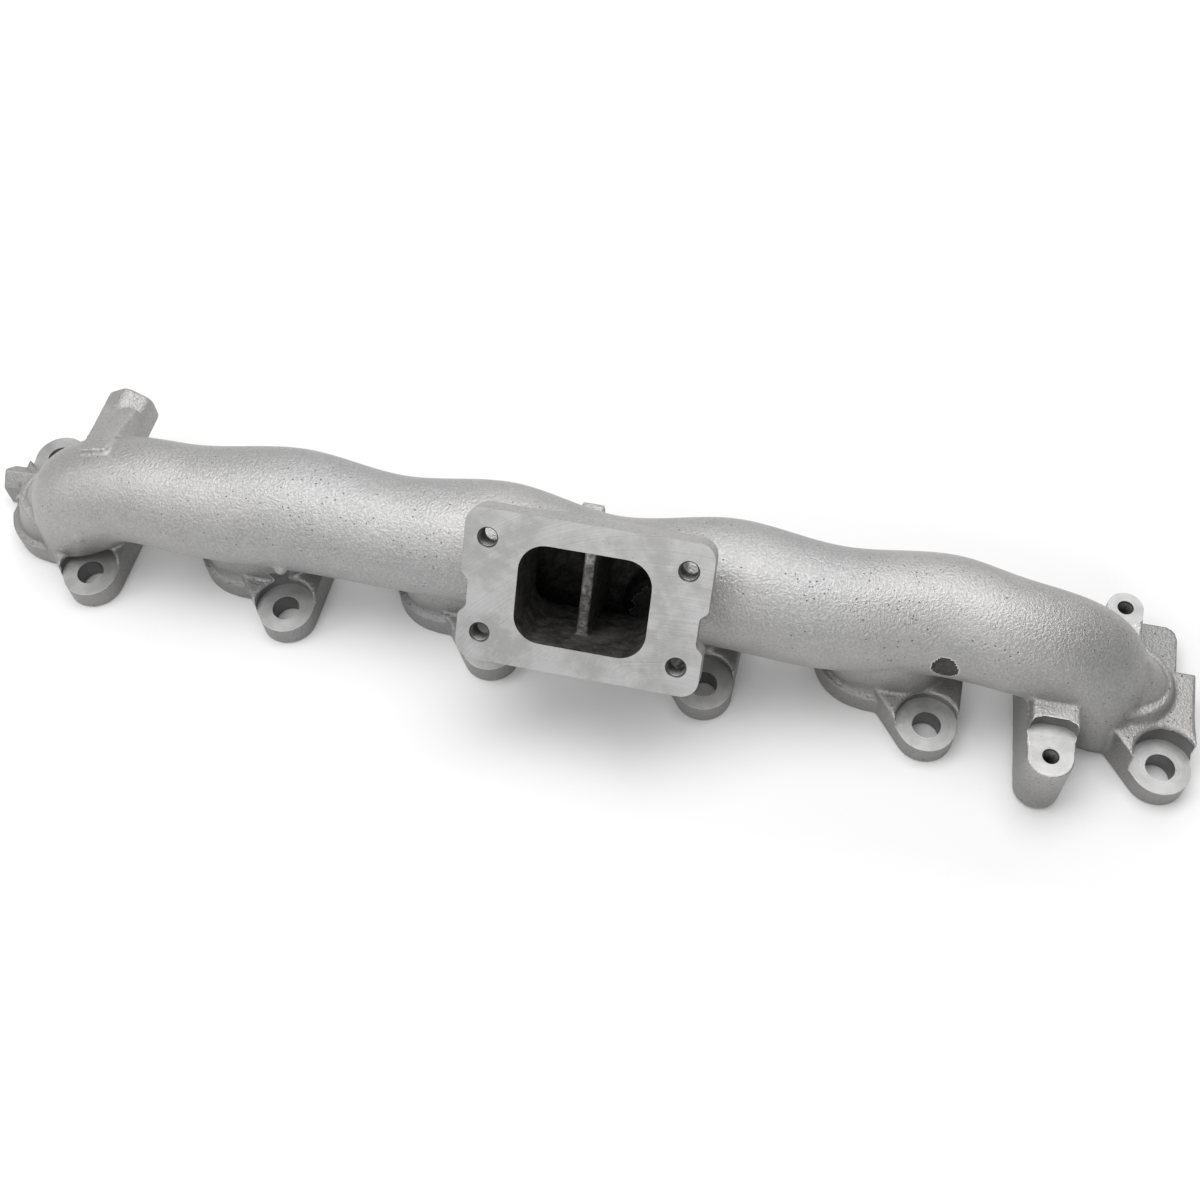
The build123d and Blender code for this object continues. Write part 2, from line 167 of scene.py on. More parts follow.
def add_lathe(bm, place, axis, outline, steps=96):
    """A closed solid turned round an axis; outline lists (radius, height) from one end to the other."""
    move = Matrix.Translation(place) @ turn_to(axis)
    rings = []
    for radius, height in outline:
        ring = [
            bm.verts.new(move @ Vector((radius * cos(2 * pi * k / steps), radius * sin(2 * pi * k / steps), height)))
            for k in range(steps)
        ]
        rings.append(ring)
    for low, high in zip(rings[:-1], rings[1:]):
        for k in range(steps):
            bm.faces.new((low[k], low[(k + 1) % steps], high[(k + 1) % steps], high[k]))
    bm.faces.new(list(reversed(rings[0])))
    bm.faces.new(rings[-1])


def add_box(bm, low, high, move=Matrix.Identity(4)):
    """A closed box between two corners, moved by a matrix."""
    made = bmesh.ops.create_cube(bm, size=1.0)["verts"]
    low, high = Vector(low), Vector(high)
    for v in made:
        v.co = move @ Vector([(a + b) / 2 + c * (b - a) for a, b, c in zip(low, high, v.co)])


def add_wedge(bm, corners):
    """The solid that a sheet stretched round some corner points would enclose."""
    made = [bm.verts.new(Vector(c) * MM) for c in corners]
    bmesh.ops.convex_hull(bm, input=made)


def add_lump(bm, place, size):
    """A small smooth lump, with half sizes along x, y and z in millimetres."""
    shape = Matrix.Translation(Vector(place) * MM) @ Matrix.Diagonal(Vector(size) * MM).to_4x4()
    bmesh.ops.create_icosphere(bm, subdivisions=3, radius=1.0, matrix=shape)


def oval_ring(x, radius, spread, height, steps=48):
    """Corner points of a round-ended oval round a port, in millimetres."""
    ring = []
    for k in range(steps):
        turn = 2 * pi * k / steps
        side = spread if cos(turn) > 0 else -spread
        ring.append((x + side + radius * cos(turn), radius * sin(turn), height))
    return ring


def mesh_from(bm, name):
    mesh = bpy.data.meshes.new(name)
    bm.to_mesh(mesh)
    bm.free()
    return mesh


def applied(thing, name):
    """The object's mesh with its modifiers worked in, as a plain mesh."""
    graph = bpy.context.evaluated_depsgraph_get()
    mesh = bpy.data.meshes.new_from_object(thing.evaluated_get(graph))
    mesh.name = name
    return mesh


# %% The blank: CAD regions with spare iron on the machined faces
spare = 3.0 * MM
blank = bmesh.new()
for name, node in nodes.items():
    region = bmesh.new()
    region.from_mesh(node.data)
    bmesh.ops.remove_doubles(region, verts=region.verts, dist=1e-6)
    for v in region.verts:
        if v.co.z < 1e-6:
            v.co.z -= spare
        elif name == "turbo_flange" and abs((v.co - turbo_centre).dot(turbo_normal)) < 1e-6:
            v.co += spare * turbo_normal
    region_mesh = mesh_from(region, "region")
    blank.from_mesh(region_mesh)
    bpy.data.meshes.remove(region_mesh)
for ear in ears:
    add_lathe(blank, ear, (0, 0, 1), [(15.4 * MM, -spare), (15.4 * MM, pad_top + 2 * MM)], 64)
for hole in stud_holes:
    add_lathe(blank, hole, turbo_normal, [(6 * MM, -flange_thickness), (6 * MM, spare)], 32)
for hole, top in zip(bracket_holes, boss_tops):
    add_lathe(blank, hole + Vector((0, 0, top)), (0, 0, 1), [(5 * MM, -19 * MM), (9.4 * MM, 0), (9.4 * MM, 2 * MM)], 48)
for port in ports[1:-1]:
    x = port.x / MM
    add_wedge(blank, oval_ring(x, 26.4, 8.0, 10.5) + oval_ring(x, 25.8, 8.0, 13.6) + oval_ring(x, 24.0, 9.0, 19.0))
front_foot = [(8, 28.5), (24, 24.5), (38, 18.3), (50, 8.5)]
rear_foot = [(8, 31.0), (24, 27.5), (38, 20.5), (50, 9.5)]
fan = [radians(-60 + 10 * k) for k in range(13)]
for end, side, y, foot in ((ports[0].x / MM, -1, -3.0, front_foot), (ports[-1].x / MM, 1, 0.0, rear_foot)):
    add_wedge(blank, [(end + side * reach * cos(a), y + 0.78 * reach * sin(a), z) for z, reach in foot for a in fan])
crest = [(-272, -1.5, 82.6), (-255, -0.5, 86.2), (-262, 45, 65), (-283, 45, 63)]
add_wedge(blank, crest + [(x, y, z - 14) for x, y, z in crest])
add_lump(blank, (-273, -33.2, 42.5), (3.2, 2.4, 4.2))
add_lump(blank, (-153, -30.6, 42.5), (3.4, 2.6, 4.4))
add_lump(blank, (-62.5, -27.5, 18.0), (1.6, 1.6, 2.2))
blank_object = new_object("blank", mesh_from(blank, "blank"))
print("blank has", len(blank_object.data.polygons), "faces")

# %% Melt the blank into one soft skin
voxel = 1.05 * MM
melt = blank_object.modifiers.new("melt", "REMESH")
melt.mode = "VOXEL"
melt.voxel_size = voxel
soften = blank_object.modifiers.new("soften", "SMOOTH")
soften.factor = 0.5
soften.iterations = 5
skin = new_object("skin", applied(blank_object, "skin"))
bpy.data.objects.remove(blank_object)
print("skin has", len(skin.data.polygons), "faces")

# %% [markdown]
# Machining.  Facing cuts are plain slabs; a bolt seat or a tapped hole is a turned cutter, drawn as
# the outline of the real tool.  Cuts that overlap go in separate passes, so each pass's cutters are
# clear of each other and the fast manifold solver can take them all at once.


# %% Cutting passes
def cut(target, cutters):
    cutter = new_object("cutter", mesh_from(cutters, "cutter"))
    step = target.modifiers.new("cut", "BOOLEAN")
    step.operation = "DIFFERENCE"
    step.solver = "MANIFOLD"
    step.object = cutter
    mesh = applied(target, "skin")
    target.modifiers.clear()
    old = target.data
    target.data = mesh
    bpy.data.meshes.remove(old)
    bpy.data.objects.remove(cutter)
    print("after the cut:", len(mesh.polygons), "faces")


facing = bmesh.new()
add_box(facing, (-0.5, -0.3, -0.02), (0.5, 0.3, 0.0))
turbo_move = Matrix.Translation(turbo_centre) @ Matrix((Vector((1, 0, 0)), turbo_up, turbo_normal)).transposed().to_4x4()
add_box(facing, (-0.08, -0.06, 0.0), (0.08, 0.06, 0.01), turbo_move)
add_lathe(facing, bracket_holes[0] + Vector((0, 0, boss_tops[0])), (0, 0, 1), [(11 * MM, 0), (11 * MM, 8 * MM)])
tongue = [(x, y) for y, half in ((-14, 13.5), (11, 13.5), (16, 10.5), (18, 6.0)) for x in (-half, half)]
tongue = [(bracket_holes[1].x / MM + x, bracket_holes[1].y / MM + y) for x, y in tongue]
add_wedge(facing, [(x, y, boss_tops[1] / MM + z) for x, y in tongue for z in (0, 14)])
cut(skin, facing)

drilling = bmesh.new()
for ear in ears:
    tool = [
        (ear_hole_radius, -2 * MM),
        (ear_hole_radius, pad_top),
        (seat_radius, pad_top),
        (seat_radius, seat_top(ear)),
    ]
    add_lathe(drilling, ear, (0, 0, 1), tool)
for hole in stud_holes:
    wide = stud_radius + stud_thread_depth
    chamfer = 1.2 * MM - stud_thread_depth
    tool = [
        (wide + 2 * MM + chamfer, -flange_thickness - 2 * MM),
        (wide, -flange_thickness + chamfer),
        (wide, -chamfer),
        (wide + 2 * MM + chamfer, 2 * MM),
    ]
    add_lathe(drilling, hole, turbo_normal, tool, 64)
for hole, top in zip(bracket_holes, boss_tops):
    wide = bracket_radius + bracket_thread_depth
    chamfer = 0.9 * MM - bracket_thread_depth
    tool = [
        (0.05 * MM, -20 * MM),
        (wide, -18 * MM),
        (wide, -chamfer),
        (wide + 2 * MM + chamfer, 2 * MM),
    ]
    add_lathe(drilling, hole + Vector((0, 0, top)), (0, 0, 1), tool, 64)
cut(skin, drilling)

# %% [markdown]
# Every face of the skin now gets a kind: cast skin, machined face, drilled wall or the rough inside
# that the sand core left.  The kinds decide the finish, and the line between two kinds is kept as a
# hard edge, while the cast skin is shaded smooth.

# %% Kinds of surface
CAST, FACED, BORED, CORE = range(4)
limit = skin.modifiers.new("no_large_faces", "TRIANGULATE")
limit.min_vertices = 5
skin_mesh = applied(skin, "skin")
count = len(skin_mesh.polygons)
centre = np.empty(count * 3)
normal = np.empty(count * 3)
skin_mesh.polygons.foreach_get("center", centre)
skin_mesh.polygons.foreach_get("normal", normal)
centre, normal = centre.reshape(-1, 3), normal.reshape(-1, 3)


def from_axis(points, place, axis):
    """Distance of each point from an axis, and its height along it."""
    offset = points - np.array(place)
    height = offset @ np.array(axis)
    return np.linalg.norm(offset - height[:, None] * np.array(axis), axis=1), height


def in_core(points, normals):
    """Whether each face looks at the gas: it is near a duct's middle line and faces towards it."""
    x, y, z = points.T
    bend = np.where(x < 0, 50 * MM, 52 * MM)
    bore_half, height = 292 * MM - bend, 55 * MM
    wall_middle = 27 * MM
    inside = (np.abs(x) < bore_half) & (np.hypot(y, z - height) < wall_middle)
    side = np.abs(x) - bore_half
    arc = np.hypot(side, z - height + bend)
    outward = (np.sign(x) * side * normals[:, 0] + (z - height + bend) * normals[:, 2]) / arc
    looks_in = outward * (arc - bend) + normals[:, 1] * y < 0
    inside |= (side >= 0) & (z > height - bend) & (np.hypot(arc - bend, y) < wall_middle) & looks_in
    for port in ports:
        half_x, half_y = 27.8 * MM, 20.8 * MM + 0.08 * z
        looks_in = normals[:, 0] * (x - port.x) + normals[:, 1] * y < 0
        inside |= (np.abs(x - port.x) < half_x) & (np.abs(y) < half_y) & (z < 40 * MM) & looks_in
    local = points - np.array(turbo_centre)
    across, depth = local @ np.array(turbo_up), -(local @ np.array(turbo_normal))
    shrink = np.clip((depth - flange_thickness) / (50 * MM), 0, 1) * 3 * MM
    in_neck = (np.abs(local[:, 0]) < 38 * MM - shrink) & (np.abs(across) < 29.8 * MM - shrink)
    return inside | (in_neck & (depth > 0.1 * MM) & (depth < 62 * MM))


kind = np.where(in_core(centre, normal), CORE, CAST)
hair = 0.03 * MM
turbo_height = (centre - np.array(turbo_centre)) @ np.array(turbo_normal)
flat_cuts = (centre[:, 2] < hair) & (normal[:, 2] < -0.99)
flat_cuts |= (np.abs(turbo_height) < hair) & (normal @ np.array(turbo_normal) > 0.99)
for ear in ears:
    away, height = from_axis(centre, ear, (0, 0, 1))
    flat_cuts |= (away < seat_radius) & (np.abs(height - pad_top) < hair) & (normal[:, 2] > 0.99)
    seat_wall = (np.abs(away - seat_radius) < 0.1 * MM) & (height > pad_top) & (height < 27 * MM)
    kind[seat_wall & (np.abs(normal[:, 2]) < 0.05)] = BORED
    kind[(away < ear_hole_radius + 0.1 * MM) & (height < pad_top) & (height > 0)] = BORED
for hole, top in zip(bracket_holes, boss_tops):
    away, height = from_axis(centre, hole, (0, 0, 1))
    flat_cuts |= (away < 20 * MM) & (np.abs(height - top) < hair) & (normal[:, 2] > 0.99)
    kind[(away < 20 * MM) & (height > top) & (height < top + 13 * MM) & (np.abs(normal[:, 2]) < 0.001)] = BORED
    kind[(away < bracket_radius + 1.2 * MM) & (height < top - hair) & (height > top - 21 * MM)] = BORED
for hole in stud_holes:
    away, height = from_axis(centre, hole, turbo_normal)
    kind[(away < stud_radius + 1.3 * MM) & (np.abs(height) < flange_thickness - hair) & (height < -hair)] = BORED
kind[flat_cuts] = FACED
print("faces of each kind:", [int((kind == k).sum()) for k in range(4)])

# %% Hard edges where two kinds meet
loops = len(skin_mesh.loops)
loop_edge = np.empty(loops, np.int32)
loop_vertex = np.empty(loops, np.int32)
loop_start = np.empty(count, np.int32)
loop_total = np.empty(count, np.int32)
skin_mesh.loops.foreach_get("edge_index", loop_edge)
skin_mesh.loops.foreach_get("vertex_index", loop_vertex)
skin_mesh.polygons.foreach_get("loop_start", loop_start)
skin_mesh.polygons.foreach_get("loop_total", loop_total)
loop_face = np.repeat(np.arange(count), loop_total)
order = np.argsort(loop_edge, kind="stable")
edge_sorted, face_sorted = loop_edge[order], loop_face[order]
pair = np.flatnonzero(edge_sorted[1:] == edge_sorted[:-1])
one, two = face_sorted[pair], face_sorted[pair + 1]
sharp = np.zeros(len(skin_mesh.edges), bool)
turned = np.einsum("ij,ij->i", normal[one], normal[two]) < cos(radians(50))
machined = (kind[one] != CAST) & (kind[one] != CORE)
sharp[edge_sorted[pair]] = (kind[one] != kind[two]) | (turned & machined)
skin_mesh.shade_smooth()
mark = skin_mesh.attributes.new("sharp_edge", "BOOLEAN", "EDGE")
mark.data.foreach_set("value", sharp)
skin_mesh.update()
corner_normal = np.empty(loops * 3, np.float32)
skin_mesh.corner_normals.foreach_get("vector", corner_normal)
corner_normal = corner_normal.reshape(-1, 3)
edge_ends = np.empty(len(skin_mesh.edges) * 2, np.int32)
skin_mesh.edges.foreach_get("vertices", edge_ends)
# Points on a hard edge: the mask of a painted highlight in the cast finish.
painted_edge_glint_points = np.zeros(len(skin_mesh.vertices), np.float32)
painted_edge_glint_points[edge_ends.reshape(-1, 2)[sharp].ravel()] = 1.0
print("hard edges:", int(sharp.sum()))

# %% [markdown]
# Machined faces carry the marks of the tool: rings round a bolt seat, long shallow arcs from a big
# milling head on the flat faces.  A small UV map stores, for each corner, how far it is from the
# tool's axis and how high along it, so that the finish can draw its marks along the tool's path.

# %% Tool-path coordinates
vertex_place = np.empty(len(skin_mesh.vertices) * 3)
skin_mesh.vertices.foreach_get("co", vertex_place)
vertex_place = vertex_place.reshape(-1, 3)
tool_u = np.zeros(loops)
tool_v = np.zeros(loops)


def tool_path(faces, place, axis):
    """Stores distance from and height along a tool's axis for the corners of some faces."""
    corners = np.flatnonzero(faces[loop_face])
    away, height = from_axis(vertex_place[loop_vertex[corners]], place, axis)
    tool_u[corners] = away
    tool_v[corners] = height


tool_path(kind == FACED, (-0.55, -0.42, 0.0), (0, 0, 1))
on_turbo = (kind == FACED) & (np.abs(turbo_height) < hair)
tool_path(on_turbo, turbo_centre - 0.11 * turbo_up + Vector((0.05, 0, 0)), turbo_normal)
for ear in ears:
    away, height = from_axis(centre, ear, (0, 0, 1))
    tool_path((kind != CAST) & (away < seat_radius + hair) & (height > hair) & (height < 27 * MM), ear, (0, 0, 1))
for hole in bracket_holes:
    away, height = from_axis(centre, hole, (0, 0, 1))
    tool_path((kind != CAST) & (away < 13.6 * MM) & (height > 10 * MM), hole, (0, 0, 1))
for hole in stud_holes:
    away, height = from_axis(centre, hole, turbo_normal)
    tool_path((kind == BORED) & (away < 8 * MM), hole, turbo_normal)
print("corners with a tool path:", int((tool_u > 0).sum()))

# %% [markdown]
# The skin is one mesh, but the manifold is kept as its 27 named regions.  Each face goes to the CAD
# region whose surface is nearest, and each region becomes a piece that stands for its CAD node.  A
# piece keeps the whole skin's corner normals, so no seam shows where two regions meet.

# %% Region of each face
cad_points, cad_faces, cad_owner = [], [], []
names = sorted(nodes)
for index, name in enumerate(names):
    mesh = nodes[name].data
    base = len(cad_points)
    cad_points += [v.co.copy() for v in mesh.vertices]
    cad_faces += [[base + i for i in p.vertices] for p in mesh.polygons]
    cad_owner += [index] * len(mesh.polygons)
nearest = BVHTree.FromPolygons(cad_points, cad_faces)
owner = np.array([cad_owner[nearest.find_nearest(Vector(c))[2]] for c in centre])
print("largest region:", names[int(np.bincount(owner).argmax())], int(np.bincount(owner).max()), "faces")

# %% [markdown]
# Finishes.  Shader maths is easier to read as sums than as boxes and wires, so one small class wraps
# a socket and lets it be added, multiplied and compared.  Everything else goes through one method
# that makes a node from its type, its settings and the values of its sockets.


# %% A small language for finishes
class Wire:
    """An output socket that can be used in sums."""

    def __init__(self, finish, socket):
        self.finish = finish
        self.socket = socket

    def maths(self, operation, first, second):
        return self.finish.node("ShaderNodeMath", {"operation": operation}, {0: first, 1: second})[0]

    def __add__(self, other):
        return self.maths("ADD", self, other)

    def __radd__(self, other):
        return self.maths("ADD", other, self)

    def __sub__(self, other):
        return self.maths("SUBTRACT", self, other)

    def __rsub__(self, other):
        return self.maths("SUBTRACT", other, self)

    def __mul__(self, other):
        return self.maths("MULTIPLY", self, other)

    def __rmul__(self, other):
        return self.maths("MULTIPLY", other, self)

    def __gt__(self, other):
        return self.maths("GREATER_THAN", self, other)

    def between(self, low, high):
        """0 below low, 1 above high and a soft step from one to the other."""
        sockets = {"Value": self, "From Min": low, "From Max": high}
        return self.finish.node("ShaderNodeMapRange", {"interpolation_type": "SMOOTHSTEP"}, sockets)["Result"]


class Made:
    """A node whose outputs are taken by name or number."""

    def __init__(self, finish, node):
        self.finish = finish
        self.node = node

    def __getitem__(self, key):
        return Wire(self.finish, self.node.outputs[key])


class Finish:
    """A material under construction."""

    def __init__(self, name):
        self.material = bpy.data.materials.new(name)
        self.material.use_nodes = True
        self.tree = self.material.node_tree
        self.tree.nodes.clear()

    def node(self, kind, settings=None, sockets=None):
        made = self.tree.nodes.new(kind)
        for key, value in (settings or {}).items():
            setattr(made, key, value)
        for key, value in (sockets or {}).items():
            if isinstance(value, Wire):
                self.tree.links.new(value.socket, made.inputs[key])
            else:
                made.inputs[key].default_value = value
        return Made(self, made)

    def place(self):
        return self.node("ShaderNodeTexCoord")["Object"]

    def noise(self, where, scale, detail=2.0, roughness=0.5, settings=None):
        sockets = {"Vector": where, "Scale": scale, "Detail": detail, "Roughness": roughness}
        return self.node("ShaderNodeTexNoise", settings, sockets)["Fac"]

    def cells(self, where, scale, feature="F1"):
        return self.node("ShaderNodeTexVoronoi", {"feature": feature}, {"Vector": where, "Scale": scale})

    def mix(self, factor, first, second):
        """A colour between two colours."""
        mixed = self.node("ShaderNodeMix", {"data_type": "RGBA"}, {0: factor, 6: first, 7: second})
        return mixed[2]

    def bump(self, height, depth, strength=1.0, under=None):
        sockets = {"Height": height, "Distance": depth, "Strength": strength}
        if under is not None:
            sockets["Normal"] = under
        return self.node("ShaderNodeBump", None, sockets)["Normal"]

    def surface(self, colour, roughness, metallic, normal):
        sockets = {"Base Color": colour, "Roughness": roughness, "Metallic": metallic, "Normal": normal}
        shader = self.node("ShaderNodeBsdfPrincipled", None, sockets)
        self.node("ShaderNodeOutputMaterial", None, {"Surface": shader["BSDF"]})
        print("finish", self.material.name, "has", len(self.tree.nodes), "nodes")
        return self.material


def grey(value, warm=0.0):
    """A near-neutral colour; warm leans it to brown."""
    return (value * (1 + warm), value, value * (1 - warm), 1.0)


# %% [markdown]
# The cast skin was cleaned with steel grit, which leaves a light silver grey with a fine orange-peel
# grain of about two millimetres.  Small dark pits are where sand grains came away.  Broad patches
# lean a little warm or dark.  Raised edges are painted brighter, partly as rubbed wear and partly as
# a painted highlight.  The grain's raised spots are painted lighter, partly grain tone and partly a
# painted highlight.  Creases get painted shade, and the low parts near the head face are painted
# darker as painted shade.

# %% Cast skin
finish = Finish("blasted_cast_iron")
where = finish.place()
peel = finish.noise(where, 760.0, 2.0, 0.55)
fine = finish.noise(where, 1700.0, 2.0, 0.6)
broad = finish.noise(where, 9.0, 2.0, 0.5).between(0.35, 0.68)
blotch = finish.noise(where, 60.0, 3.0, 0.6).between(0.3, 0.75)
pit_cells = finish.cells(where, 620.0)
pit_choice = finish.node("ShaderNodeSeparateColor", None, {"Color": pit_cells["Color"]})["Red"]
pit_patch = finish.noise(where, 26.0, 2.0, 0.5).between(0.42, 0.62)
pits = (1.0 - pit_cells["Distance"].between(0.16, 0.34)) * (pit_choice > 0.99 - 0.10 * pit_patch)
# Painted highlight: the mask of the thin bright line along the hard edges.
painted_edge_glint = finish.node("ShaderNodeAttribute", {"attribute_name": "painted_edge_glint"})["Fac"].between(0.25, 0.95)
edge = finish.node("ShaderNodeNewGeometry")["Pointiness"].between(0.52, 0.58)
painted_crease_shade = 1.0 - finish.node("ShaderNodeNewGeometry")["Pointiness"].between(0.40, 0.48)
colour = finish.mix(broad, grey(0.335, 0.0), grey(0.37, 0.026))
colour = finish.mix(blotch * 0.5, colour, grey(0.30, 0.008))
# The grain's raised spots are painted lighter: grain tone and a painted highlight on the grain.
colour = finish.mix(peel.between(0.40, 0.68) * 0.45, colour, grey(0.50, 0.0))
# Raised edges are painted brighter: partly rubbed wear, partly a painted highlight.
colour = finish.mix(edge * 0.5, colour, grey(0.50, 0.0))
# Painted shade: concave creases are painted dark, where shade falls.
colour = finish.mix(painted_crease_shade * 0.6, colour, grey(0.11, 0.01))
# Painted shade: the low parts near the head face are painted darker.
height = finish.node("ShaderNodeSeparateXYZ", None, {"Vector": where})["Z"]
colour = finish.mix((1.0 - height.between(0.010, 0.046)) * 0.5, colour, grey(0.17, 0.01))
colour = finish.mix(pits * 0.85, colour, grey(0.07, 0.04))
# Painted highlight: a thin bright line painted along the hard edges of the cast skin.
colour = finish.mix(painted_edge_glint * 0.75, colour, grey(0.72, 0.0))
roughness = 0.40 + 0.16 * fine - 0.06 * edge
normal = finish.bump(peel + 0.35 * fine - 0.5 * pits, 0.0006, 0.85)
cast_skin = finish.surface(colour, roughness, 0.82, normal)

# %% [markdown]
# A milled or spot-faced surface is brighter and follows the tool's path.  Fine lines come from noise
# read along the stored distance from the tool's axis, and a few small pores of the iron show.

# %% Machined face
finish = Finish("machined_iron")
where = finish.place()
path = finish.node("ShaderNodeSeparateXYZ", None, {"Vector": finish.node("ShaderNodeUVMap", {"uv_map": "tool"})["UV"]})
rings = finish.node("ShaderNodeTexNoise", {"noise_dimensions": "1D"}, {"W": path["X"], "Scale": 1700.0, "Detail": 3.0})["Fac"]
coarse = finish.node("ShaderNodeTexNoise", {"noise_dimensions": "1D"}, {"W": path["X"], "Scale": 330.0, "Detail": 1.0})["Fac"]
cloud = finish.noise(where, 42.0, 4.0, 0.62)
smear = finish.noise(where, 140.0, 3.0, 0.6)
speck = finish.cells(where, 900.0)
speck_choice = finish.node("ShaderNodeSeparateColor", None, {"Color": speck["Color"]})["Red"]
pores = (1.0 - speck["Distance"].between(0.1, 0.26)) * (speck_choice > 0.94)
colour = finish.mix(cloud.between(0.36, 0.66), grey(0.33, 0.01), grey(0.46, 0.0))
colour = finish.mix(smear.between(0.45, 0.75) * 0.45, colour, grey(0.52, 0.0))
colour = finish.mix(rings.between(0.38, 0.62) * 0.35, colour, grey(0.30, 0.0))
colour = finish.mix(pores * 0.7, colour, grey(0.12, 0.03))
roughness = 0.34 + 0.18 * cloud + 0.10 * coarse
normal = finish.bump(rings * 0.6 + coarse * 0.4 - pores, 0.00010, 0.8)
machined_face = finish.surface(colour, roughness, 0.9, normal)

# %% [markdown]
# A drilled wall is darker, because little light gets in, and has rings from the drill.  The inside
# of the passage was made by a sand core: coarse, dull and nearly black in the shade.

# %% Drilled wall
finish = Finish("drilled_iron")
where = finish.place()
path = finish.node("ShaderNodeSeparateXYZ", None, {"Vector": finish.node("ShaderNodeUVMap", {"uv_map": "tool"})["UV"]})
rings = finish.node("ShaderNodeTexNoise", {"noise_dimensions": "1D"}, {"W": path["Y"], "Scale": 2200.0, "Detail": 3.0})["Fac"]
cloud = finish.noise(where, 120.0, 3.0, 0.6)
colour = finish.mix(rings, grey(0.132, 0.01), grey(0.264, 0.0))
colour = finish.mix(cloud.between(0.5, 0.8) * 0.5, colour, grey(0.084, 0.03))
normal = finish.bump(rings, 0.00008, 0.7)
drilled_wall = finish.surface(colour, 0.34 + 0.2 * cloud, 0.9, normal)

# %% Sand-cored inside
finish = Finish("sand_cored_inside")
where = finish.place()
coarse = finish.noise(where, 190.0, 4.0, 0.65)
broad = finish.noise(where, 40.0, 2.0, 0.5)
colour = finish.mix(coarse.between(0.35, 0.7), grey(0.022, 0.05), grey(0.075, 0.05))
colour = finish.mix(broad.between(0.5, 0.75) * 0.4, colour, grey(0.12, 0.05))
normal = finish.bump(coarse, 0.0012, 0.9)
core_inside = finish.surface(colour, 0.62 + 0.2 * broad, 0.45, normal)

# %% Rough rib that parts the flow
finish = Finish("rough_rib")
where = finish.place()
coarse = finish.noise(where, 260.0, 4.0, 0.7)
broad = finish.noise(where, 60.0, 2.0, 0.5)
height = finish.node("ShaderNodeSeparateXYZ", None, {"Vector": where})["Z"]
colour = finish.mix(coarse.between(0.35, 0.65), grey(0.12, 0.04), grey(0.55, 0.01))
colour = finish.mix(broad.between(0.45, 0.65) * 0.6, colour, grey(0.12, 0.04))
# Painted shade: the rib is painted darker lower down, deeper in the turbo mouth.
colour = finish.mix((1.0 - height.between(0.070, 0.105)) * 0.8, colour, grey(0.05, 0.04))
normal = finish.bump(coarse, 0.0015, 1.0)
rough_rib = finish.surface(colour, 0.48 + 0.2 * broad, 0.7, normal)

# %% [markdown]
# Now the pieces are cut out of the skin's face list.  This is plain bookkeeping: each region takes
# its own faces, the points they use, their corner normals and their tool-path coordinates.

# %% One piece per region
finishes = {CAST: cast_skin, FACED: machined_face, BORED: drilled_wall, CORE: core_inside}
pieces = {}
for index, name in enumerate(names):
    mine = np.flatnonzero(owner == index)
    if not len(mine):
        raise SystemExit(f"no face of the skin belongs to {name}")
    totals = loop_total[mine]
    starts = np.concatenate(([0], np.cumsum(totals)[:-1]))
    corners = np.repeat(loop_start[mine] - starts, totals) + np.arange(totals.sum())
    used, renumbered = np.unique(loop_vertex[corners], return_inverse=True)
    mesh = bpy.data.meshes.new("cast_" + name)
    mesh.vertices.add(len(used))
    mesh.vertices.foreach_set("co", vertex_place[used].ravel())
    mesh.loops.add(len(corners))
    mesh.loops.foreach_set("vertex_index", renumbered.astype(np.int32))
    mesh.polygons.add(len(mine))
    mesh.polygons.foreach_set("loop_start", starts.astype(np.int32))
    kinds = sorted(set(kind[mine]))
    for k in kinds:
        use = rough_rib if name == "flow_divider" and k == CORE else finishes[k]
        mesh.materials.append(use)
    mesh.polygons.foreach_set("material_index", np.searchsorted(kinds, kind[mine]).astype(np.int32))
    mesh.update(calc_edges=True)
    tool = mesh.uv_layers.new(name="tool")
    tool.data.foreach_set("uv", np.stack((tool_u[corners], tool_v[corners]), axis=1).astype(np.float32).ravel())
    # Each piece carries the painted highlight's mask for its points.
    painted_glint_layer = mesh.attributes.new("painted_edge_glint", "FLOAT", "POINT")
    painted_glint_layer.data.foreach_set("value", painted_edge_glint_points[used])
    mesh.shade_smooth()
    mesh.normals_split_custom_set(corner_normal[corners])
    pieces[name] = new_object("cast_" + name, mesh)
print("pieces", len(pieces), "faces", sum(len(p.data.polygons) for p in pieces.values()))
bpy.data.objects.remove(skin)

# %% [markdown]
# Threads.  A tapped hole is a spiral groove, which is a rule and not a drawing, so Geometry Nodes
# makes it: a flat grid is rolled into a tube whose radius rises and falls with the height less the
# turn, and one tube is placed at each hole.  The groove fades out at both ends, as behind a tap.


# %% A thread as a rule
class Rule:
    """Geometry nodes with the same small language as the finishes."""

    def __init__(self, name, inputs):
        self.tree = bpy.data.node_groups.new(name, "GeometryNodeTree")
        self.tree.interface.new_socket("Geometry", in_out="INPUT", socket_type="NodeSocketGeometry")
        self.tree.interface.new_socket("Geometry", in_out="OUTPUT", socket_type="NodeSocketGeometry")
        self.identifiers = {}
        for key, kind in inputs.items():
            made = self.tree.interface.new_socket(key, in_out="INPUT", socket_type=kind)
            self.identifiers[key] = made.identifier
        self.given = Made(self, self.tree.nodes.new("NodeGroupInput"))

    def node(self, kind, settings=None, sockets=None):
        made = self.tree.nodes.new(kind)
        for key, value in (settings or {}).items():
            setattr(made, key, value)
        for key, value in (sockets or {}).items():
            if isinstance(value, Wire):
                self.tree.links.new(value.socket, made.inputs[key])
            else:
                made.inputs[key].default_value = value
        return Made(self, made)


